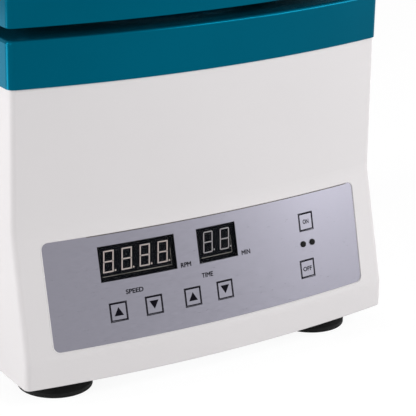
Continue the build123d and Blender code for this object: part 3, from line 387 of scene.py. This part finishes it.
def printed_text(name, text, surface, width, height, body="base", material=None, bold=0.028):
    """Lettering with a slight thickness, fitted to a width and a height on a surface."""
    curve = bpy.data.curves.new(name, "FONT")
    curve.body = text
    curve.size = 1
    curve.resolution_u = 6
    curve.extrude = 0.01
    draft = bpy.data.objects.new(name + "_draft", curve)
    bpy.context.scene.collection.objects.link(draft)
    bpy.context.view_layer.update()
    mesh = bpy.data.meshes.new_from_object(draft.evaluated_get(bpy.context.evaluated_depsgraph_get()))
    bpy.data.objects.remove(draft)
    shape = bmesh.new()
    shape.from_mesh(mesh)
    bmesh.ops.remove_doubles(shape, verts=shape.verts, dist=0.0002)
    bmesh.ops.recalc_face_normals(shape, faces=shape.faces)
    pushes = {}
    for vertex in shape.verts:
        sides = [face.normal for face in vertex.link_faces if abs(face.normal.z) < 0.5]
        mean = sum(sides, Vector()) / max(len(sides), 1)
        pushes[vertex] = mean * bold / max(mean.length_squared, 0.4)
    for vertex, push in pushes.items():
        vertex.co += push
    shape.to_mesh(mesh)
    shape.free()
    xs = [v.co.x for v in mesh.vertices]
    ys = [v.co.y for v in mesh.vertices]
    for vertex in mesh.vertices:
        u = ((vertex.co.x - min(xs)) / (max(xs) - min(xs)) - 0.5) * width
        v = ((vertex.co.y - min(ys)) / (max(ys) - min(ys)) - 0.5) * height
        point, outward = surface(u, v)
        vertex.co = point + outward * (0.00003 if vertex.co.z > 0 else -0.00002)
    mesh.name = name
    return add_piece(name, mesh, material or ink, body)


# Panel lettering: generic words for what each display and key is for
for name, text, x, z, width, body in (
    ("text_rpm", "RPM", -0.02290, 0.0776, 0.0077, "base"),
    ("text_min", "MIN", 0.0238, 0.0773, 0.0069, "base"),
    ("text_speed", "SPEED", -0.0617, 0.0679, 0.0125, "base"),
    ("text_time", "TIME", -0.0079, 0.0685, 0.0085, "base"),
    ("text_on", "ON", 0.0758, 0.0874, 0.0050, "on_key"),
    ("text_off", "OFF", 0.0731, 0.0565, 0.0075, "off_key"),
):
    surface = panel_surface(x, z)
    if body != "base":
        outward = surface(0, 0)[1]
        surface = cast_surface("key_" + body[:-4], surface(0, 0)[0], (1, 0, 0), (0, outward.z, -outward.y), outward)
    printed_text(name, text, surface, width, 0.0031, body)

# Numbers of the rotor's places, on the outer cone beside each sleeve
for number in range(6):
    turn = radians(90 + 60 * number)
    radial, side = Vector((cos(turn), sin(turn), 0)), Vector((-sin(turn), cos(turn), 0))
    outward = (radial * 0.823 + Vector((0, 0, 0.568))).normalized()
    centre = Vector((0, CHAMBER_Y, 0.2095)) + radial * 0.0657
    surface = cast_surface("rotor_head", centre, side, outward.cross(side), outward)
    printed_text(f"place_number_{number + 1}", str(number + 1), surface, 0.0042, 0.0065, "rotor")

# On and off marks of the power rocker
chalk = moulded("chalk", (0.75, 0.75, 0.74), 0.6, 0.03, 1500.0, 0.000002, 0.2)
for name, text, z, width in (("rocker_on", "I", 0.0678, 0.0007), ("rocker_off", "O", 0.0568, 0.0042)):
    surface = cast_surface("power_rocker", (0.036, 0.157, z), (-1, 0, 0), (0, 0, 1), (0, 1, 0))
    printed_text(name, text, surface, width, 0.0042, "rocker", chalk, 0.0)

# Arrows on the four setting keys
INTO_PANEL = (0, 0.00005, 0)
KEYS = {"speed_up": (-0.0744, 1), "speed_down": (-0.0491, -1), "time_up": (-0.0205, 1), "time_down": (0.0043, -1)}
for key, (x, way) in KEYS.items():
    z = 0.0568
    points = [
        on_panel(x - 0.0033, z - way * 0.0027),
        on_panel(x + 0.0033, z - way * 0.0027),
        on_panel(x, z + way * 0.0027),
    ]
    mesh = slab_mesh("arrow_" + key, [points if way > 0 else points[::-1]], INTO_PANEL)
    add_piece("arrow_" + key, mesh, ink, key + "_key")


# Digits: seven pale segments and a point each, on the face of their module
def tangent_frame(x, z):
    """Axes of the plane that touches the sloping front at a point: along, up the slope, outward."""
    lean = (slope_y(x + 0.001, z) - slope_y(x - 0.001, z)) / 0.002
    along = Vector((1, lean, 0)).normalized()
    rise = Vector((0, sin(SLOPE_ANGLE), cos(SLOPE_ANGLE)))
    outward = along.cross(rise).normalized()
    return along, outward.cross(along), outward


def digit_polygons(centre, wide, tall, bar, slant, mitred, raise_dot):
    """Seven segments of one slanted digit and its point, as flat outlines."""
    w, h, b, g = wide / 2 - bar / 2, tall / 2 - bar / 2, bar / 2, bar * 0.14
    shapes = []
    if mitred:
        for y in (h, 0, -h):
            near, far = w - b * 0.5 - g, w + b * 0.1 - g
            shapes.append([(-near, y - b), (near, y - b), (far, y), (near, y + b), (-near, y + b), (-far, y)])
        for x in (-w, w):
            for low, high in ((-h, 0), (0, h)):
                foot, head = low + b * 0.6 + g, high - b * 0.6 - g
                shapes.append([(x - b, foot), (x, low + g), (x + b, foot), (x + b, head), (x, high - g), (x - b, head)])
    else:
        for y in (h, 0, -h):
            reach = w - b - g
            shapes.append([(-reach, y - b), (reach, y - b), (reach, y + b), (-reach, y + b)])
        for x in (-w, w):
            for low, high in ((-h - b, -2 * g), (2 * g, h + b)):
                shapes.append([(x - b, low), (x + b, low), (x + b, high), (x - b, high)])
    moved = [[(x + y * slant + centre[0], y + centre[1]) for x, y in shape] for shape in shapes]
    dot = (centre[0] + w + bar / 2 + 0.00135 - h * slant, centre[1] - h + raise_dot)
    moved.append([(dot[0] + bar * 0.75 * cos(k * pi / 6), dot[1] + bar * 0.75 * sin(k * pi / 6)) for k in range(12)])
    return moved


def digit_display(name, node, window_x, window_z, count, material, wide, shift_x, shift_z, bar, mitred, raise_dot):
    """The lit-up face of a module: its unlit segments lie 0.03 mm in front of the CAD module."""
    along, rise, outward = tangent_frame(window_x, window_z)
    origin = Vector((window_x, slope_y(window_x, window_z), window_z))
    mesh = nodes[node].data
    face = max((v.co - origin).dot(outward) for v in mesh.vertices) + 0.00003
    polygons = []
    for step in range(count):
        centre = ((step - (count - 1) / 2) * 0.0129 + shift_x, shift_z)
        polygons += digit_polygons(centre, wide, 0.0140, bar, 0.114, mitred, raise_dot)
    placed = [[origin + along * x + rise * y + outward * face for x, y in polygon] for polygon in polygons]
    return add_piece(name, slab_mesh(name, placed, outward * -0.00005), material)


digit_display("speed_segments", "speed_display", -0.0566, 0.0872, 4, segment_pink, 0.0073, -0.0004, 0.0011, 0.00080, False, 0.0004)
digit_display("time_segments", "time_display", 0.0024, 0.0872, 2, segment_grey, 0.0072, 0.0007, 0.0014, 0.00070, True, 0.0010)

# Pale resin edge of each module, and a black mask round it that hides the board behind
resin = moulded("resin", (0.42, 0.39, 0.34), 0.35, 0.75, 500.0, 0.00001, 0.5, 60.0)
for name, node, x, width, opening in (
    ("speed", "speed_display", -0.0566, 0.0508, 0.0545),
    ("time", "time_display", 0.0024, 0.0254, 0.0301),
):
    along, rise, outward = tangent_frame(x, 0.0872)
    origin = Vector((x, slope_y(x, 0.0872), 0.0872))
    face = max((v.co - origin).dot(outward) for v in nodes[node].data.vertices) + 0.00003

    def framed(rectangles, depth):
        """Rectangles on the module's plane, each given by its two corners."""
        corners = [[(u0, v0), (u1, v0), (u1, v1), (u0, v1)] for u0, v0, u1, v1 in rectangles]
        return [[origin + along * u + rise * v + outward * depth for u, v in shape] for shape in corners]

    a, b, t = width / 2, 0.0095, 0.00032
    strips = framed([(-a + 0.0008, -b + 0.0010, a - 0.0008, -b + 0.0010 + t), (a - 0.0008 - t * 0.6, -b + 0.00102 + t, a - 0.0008, b * 0.3)], face)
    add_piece(name + "_module_edge", slab_mesh(name + "_module_edge", strips, outward * -0.00005), resin)
    c, d = opening / 2 + 0.0012, 0.0123
    ring = framed([(-c, -d, c, -b - 0.0001), (-c, b + 0.0001, c, d), (-c, -b, -a - 0.0001, b), (a + 0.0001, -b, c, b)], face - 0.0004)
    add_piece(name + "_mask", slab_mesh(name + "_mask", ring, outward * -0.0008), materials["display_black"])


# Keys: a black frame sunk in the gap round each cap as painted shade of the gap, with printed outlines beside it
def square_ring(x, z, inner, outer, proud, sink=0.0):
    """A square ring round a key, flat on the panel or sunk into the gap as a solid frame."""
    def corner(half, way_x, way_z, depth):
        px, pz = x + way_x * half, z + way_z * half * cos(SLOPE_ANGLE)
        return (px, slope_y(px, pz) + PANEL_SINK - proud + depth * cos(SLOPE_ANGLE), pz - depth * sin(SLOPE_ANGLE))

    ways = ((-1, -1), (1, -1), (1, 1), (-1, 1))
    faces = []
    for (ax, az), (bx, bz) in zip(ways, ways[1:] + ways[:1]):
        faces.append([corner(inner, ax, az, 0), corner(outer, ax, az, 0), corner(outer, bx, bz, 0), corner(inner, bx, bz, 0)])
        if sink:
            faces.append([corner(outer, ax, az, 0), corner(outer, ax, az, sink), corner(outer, bx, bz, sink), corner(outer, bx, bz, 0)])
            faces.append([corner(inner, bx, bz, 0), corner(inner, bx, bz, sink), corner(inner, ax, az, sink), corner(inner, ax, az, 0)])
            faces.append([corner(outer, ax, az, sink), corner(inner, ax, az, sink), corner(inner, bx, bz, sink), corner(outer, bx, bz, sink)])
    return faces


ALL_KEYS = {name: (x, 0.0566) for name, (x, way) in KEYS.items()}
ALL_KEYS.update(on=(0.0759, 0.0874), off=(0.0732, 0.0566))
gap_shade_frames = []
for name, (x, z) in ALL_KEYS.items():
    gap_shade_frames += square_ring(x, z, 0.00579, 0.00623, 0.0, 0.0008)
    mesh = flat_mesh("cap_outline_" + name, square_ring(x, z, 0.00500, 0.00570, 0.00003, 0.00005))
    add_piece("cap_outline_" + name, mesh, ink, name + "_key")
# painted shade: black frames fill the gaps round the key caps
add_piece("key_gap_painted_shade", flat_mesh("key_gap_painted_shade", gap_shade_frames), ink)


# Panel surround: a soft lip that frames the recess
def recess_lip():
    half_x, half_z, corner, middle = 0.12065, 0.03415, 0.0045, 0.0718
    outline = []
    for centre_x, centre_z, start in ((1, 1, 0), (-1, 1, 90), (-1, -1, 180), (1, -1, 270)):
        for step in range(9):
            turn = radians(start + step * 90 / 8)
            outline.append((centre_x * (half_x - corner) + corner * cos(turn), centre_z * (half_z - corner) + corner * sin(turn), cos(turn), sin(turn)))
    points = []
    for (x, z, nx, nz), (x2, z2, mx, mz) in zip(outline, outline[1:] + outline[:1]):
        steps = max(1, round(sqrt((x2 - x) ** 2 + (z2 - z) ** 2) / 0.003))
        for step in range(steps):
            share = step / steps
            points.append((x + (x2 - x) * share, z + (z2 - z) * share, nx + (mx - nx) * share, nz + (mz - nz) * share))
    profile = [(-0.32, -0.385), (-0.10, 0.02), (0.02, 0.16), (0.22, 0.22), (0.45, 0.19), (0.70, 0.09), (0.95, -0.03)]
    vertices, faces = [], []
    for x, z, nx, nz in points:
        for away, height in profile:
            px, pz = x + nx * away / 1000, middle + z + nz * away / 1000 * cos(SLOPE_ANGLE)
            vertices.append((px, slope_y(px, pz) - height / 1000 * cos(SLOPE_ANGLE), pz + height / 1000 * sin(SLOPE_ANGLE)))
    wide = len(profile)
    for ring in range(len(points)):
        after = (ring + 1) % len(points)
        for k in range(wide):
            beside = (k + 1) % wide
            faces.append((ring * wide + k, ring * wide + beside, after * wide + beside, after * wide + k))
    mesh = bpy.data.meshes.new("recess_lip")
    mesh.from_pydata(vertices, [], faces)
    mesh.shade_smooth()
    mesh.set_sharp_from_angle(angle=radians(40))
    return mesh


add_piece("recess_lip", recess_lip(), materials["white_shell"])


def panel_top_shadow_strip():
    """The painted shadow along the panel's top edge: one closed dark strip that follows the bow, where the gap under
    the recess edge lies in shade.
    """
    shape = bmesh.new()
    rings = []
    for step in range(41):
        x = -0.090 + 0.205 * step / 40
        front = [Vector(on_panel(x, 0.10510)), Vector(on_panel(x, 0.10562))]
        back = [point + Vector(INTO_PANEL) for point in reversed(front)]
        rings.append([shape.verts.new(point) for point in front + back])
    for here, after in zip(rings, rings[1:]):
        for k in range(4):
            shape.faces.new((here[k], here[(k + 1) % 4], after[(k + 1) % 4], after[k]))
    shape.faces.new(rings[0])
    shape.faces.new(rings[-1])
    bmesh.ops.recalc_face_normals(shape, faces=shape.faces)
    mesh = bpy.data.meshes.new("panel_top_shadow_strip")
    shape.to_mesh(mesh)
    shape.free()
    return mesh


# painted shadow: a dark strip stands for the shade in the gap along the panel's top edge
add_piece("panel_top_shadow_strip", panel_top_shadow_strip(), moulded("painted_shadow_dark", (0.06, 0.05, 0.04), 0.7, 0.5, 90.0, 0.00001, 0.1, 70.0))


# Screws with cross recesses, in place of the CAD's plain ones
def add_screw(shape, foot, way, length):
    """One screw: a pan head that stands out along a direction from its seat, and a ribbed shank the other way."""
    way = Vector(way)
    across = way.orthogonal().normalized()
    upward = way.cross(across)

    def ring(radius, height, turns=32):
        return [
            shape.verts.new(Vector(foot) + across * radius * cos(2 * pi * k / turns) + upward * radius * sin(2 * pi * k / turns) + way * height)
            for k in range(turns)
        ]

    def cross(arm, half, height):
        corners = [(arm, half), (half, half), (half, arm), (-half, arm), (-half, half), (-arm, half)]
        corners += [(-x, -y) for x, y in corners]
        return [shape.verts.new(Vector(foot) + across * x + upward * y + way * height) for x, y in corners]

    def skin(rings):
        for low, high in zip(rings, rings[1:]):
            for k in range(len(low)):
                after = (k + 1) % len(low)
                shape.faces.new((low[k], low[after], high[after], high[k]))

    rings = [ring(0.0004, -length), ring(0.0020, -length + 0.0012)]
    depth = -length + 0.0018
    while depth < -0.0012:
        rings += [ring(0.00172, depth), ring(0.0020, depth + 0.0004)]
        depth += 0.0008
    rings += [ring(0.0020, 0.0), ring(0.0038, 0.0), ring(0.0038, 0.0008), ring(0.0036, 0.0014), ring(0.0031, 0.0019), ring(0.0025, 0.0021)]
    skin(rings)
    shape.faces.new(rings[0][::-1])
    mouth, bottom = cross(0.0019, 0.00042, 0.0022), cross(0.0012, 0.00030, 0.0008)
    skin([mouth, bottom])
    shape.faces.new(bottom)
    edges = [shape.edges.get((rings[-1][k], rings[-1][(k + 1) % 32])) for k in range(32)]
    edges += [shape.edges.get((mouth[k], mouth[(k + 1) % 12])) for k in range(12)]
    bmesh.ops.triangle_fill(shape, use_beauty=True, edges=edges)


def add_nut(shape, x, y, low, high):
    """A hexagonal nut with worn corners, round a foot screw."""
    def ring(radius, height, sides, turn=0.0):
        return [shape.verts.new((x + radius * cos(turn + 2 * pi * k / sides), y + radius * sin(turn + 2 * pi * k / sides), height)) for k in range(sides)]

    rings = [ring(0.0021, low, 6), ring(0.0034, low, 6), ring(0.0038, low + 0.0003, 6), ring(0.0038, high - 0.0003, 6), ring(0.0034, high, 6), ring(0.0021, high, 6)]
    for below, above in zip(rings, rings[1:] + rings[:1]):
        for k in range(6):
            after = (k + 1) % 6
            shape.faces.new((below[k], below[after], above[after], above[k]))


def screw_piece(node, body, screws, nuts=()):
    shape = bmesh.new()
    for foot, way, length in screws:
        add_screw(shape, foot, way, length)
    for x, y, low, high in nuts:
        add_nut(shape, x, y, low, high)
    bmesh.ops.recalc_face_normals(shape, faces=shape.faces)
    mesh = bpy.data.meshes.new(node + "_cross")
    shape.to_mesh(mesh)
    shape.free()
    piece = add_piece(node + "_cross", mesh, materials["zinc_steel"], body)
    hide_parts(node)


LEAF_XS = (-0.096, -0.074, 0.074, 0.096)
FOOT_PLACES = [(x, y) for x in (-0.102, 0.102) for y in (-0.11965, 0.12235)]
screw_piece("hinge_base_screws", "base", [((x, 0.15915, 0.22525), (0, 1, 0), 0.0060) for x in LEAF_XS])
screw_piece(
    "lid_screws",
    "lid",
    [((x, 0.15915, 0.25325), (0, 1, 0), 0.0055) for x in LEAF_XS]
    + [((x, y, 0.2437), (0, 0, -1), 0.0140) for x in (-0.1183, 0.1183) for y in (-0.11445, 0.13715)],
)
screw_piece("base_screws", "base", [((x, y, 0.015), (0, 0, -1), 0.0120) for x in (-0.124, 0.124) for y in (-0.13665, 0.14035)])
screw_piece(
    "foot_screws",
    "base",
    [((x, y, 0.008), (0, 0, -1), 0.0132) for x, y in FOOT_PLACES],
    [(x, y, 0.017, 0.0202) for x, y in FOOT_PLACES],
)


# Studio: a white floor, a soft box to the right and a weaker one to the left
def stage_plane(name, centre, size, material):
    half = size / 2
    mesh = flat_mesh(name, [[(centre[0] - half, centre[1] - half, 0), (centre[0] + half, centre[1] - half, 0), (centre[0] + half, centre[1] + half, 0), (centre[0] - half, centre[1] + half, 0)]])
    plane = bpy.data.objects.new(name, mesh)
    plane.location.z = centre[2]
    bpy.context.scene.collection.objects.link(plane)
    mesh.materials.append(material)
    return plane


def seen_directly(tree):
    """1 where a ray from the camera, off a glossy surface or through glass arrives, and else 0."""
    path = tree.nodes.new("ShaderNodeLightPath")
    total = path.outputs["Is Camera Ray"]
    for kind in ("Is Glossy Ray", "Is Transmission Ray"):
        larger = tree.nodes.new("ShaderNodeMath")
        larger.operation = "MAXIMUM"
        link(tree, total, larger.inputs[0])
        link(tree, path.outputs[kind], larger.inputs[1])
        total = larger.outputs[0]
    return total


def floor_material():
    material, tree, shader = nodes_of("floor_white")
    link(tree, ramp(tree, noise(tree, place(tree), 3.0), [(0.3, (0.9, 0.9, 0.9)), (0.7, (0.92, 0.92, 0.92))]), shader.inputs["Base Color"])
    shader.inputs["Roughness"].default_value = 0.9
    shader.inputs["Specular IOR Level"].default_value = 0.0
    glow = tree.nodes.new("ShaderNodeEmission")
    mix = tree.nodes.new("ShaderNodeMixShader")
    link(tree, span(tree, seen_directly(tree), 0, 0.8, 0, 1), mix.inputs["Fac"])
    link(tree, shader.outputs[0], mix.inputs[1])
    link(tree, glow.outputs[0], mix.inputs[2])
    glow.inputs["Strength"].default_value = 1.1
    link(tree, mix.outputs[0], tree.nodes["Material Output"].inputs["Surface"])
    return material


stage_plane("floor", (0, 0, -0.0002), 12.0, floor_material())

world = bpy.data.worlds.new("studio")
bpy.context.scene.world = world
world.use_nodes = True
tree = world.node_tree
background = tree.nodes["Background"]
link(tree, span(tree, seen_directly(tree), 0.35, 1.0, 0, 1), background.inputs["Strength"])
background.inputs["Color"].default_value = (1, 1, 1, 1)


def softbox(name, place_at, look_at, size, power, gloss_only=False):
    lamp = bpy.data.lights.new(name, "AREA")
    lamp.shape = "RECTANGLE"
    lamp.size, lamp.size_y = size
    lamp.energy = power
    lamp_object = bpy.data.objects.new(name, lamp)
    lamp_object.location = place_at
    lamp_object.rotation_mode = "QUATERNION"
    lamp_object.rotation_quaternion = (Vector(look_at) - Vector(place_at)).to_track_quat("-Z", "Y")
    lamp_object.visible_camera = False
    lamp_object.visible_diffuse = not gloss_only
    bpy.context.scene.collection.objects.link(lamp_object)
    return lamp_object


softbox("softbox_right", (1.91, -1.51, 0.84), (0, -0.1, 0.12), (1.12, 1.12), 26)
softbox("softbox_left", (-2.1, 0.5, 0.8), (0, 0, 0.14), (0.9, 0.9), 23)
softbox("softbox_front", (-1.1, -0.75, 0.5), (0, -0.1, 0.12), (0.5, 0.5), 2.4)
softbox("softbox_key", (1.03, -1.44, 1.32), (0, -0.1, 0.2), (0.35, 0.35), 6)
softbox("corner_card", (-0.53, 0.03, 0.07), (-0.14, -0.13, 0.2), (0.2, 0.14), 0.6, True)
softbox("side_card", (-0.373, 0.234, 0.075), (-0.14, -0.12, 0.23), (0.25, 0.14), 0.19, True)

bpy.context.scene.view_settings.view_transform = "Standard"
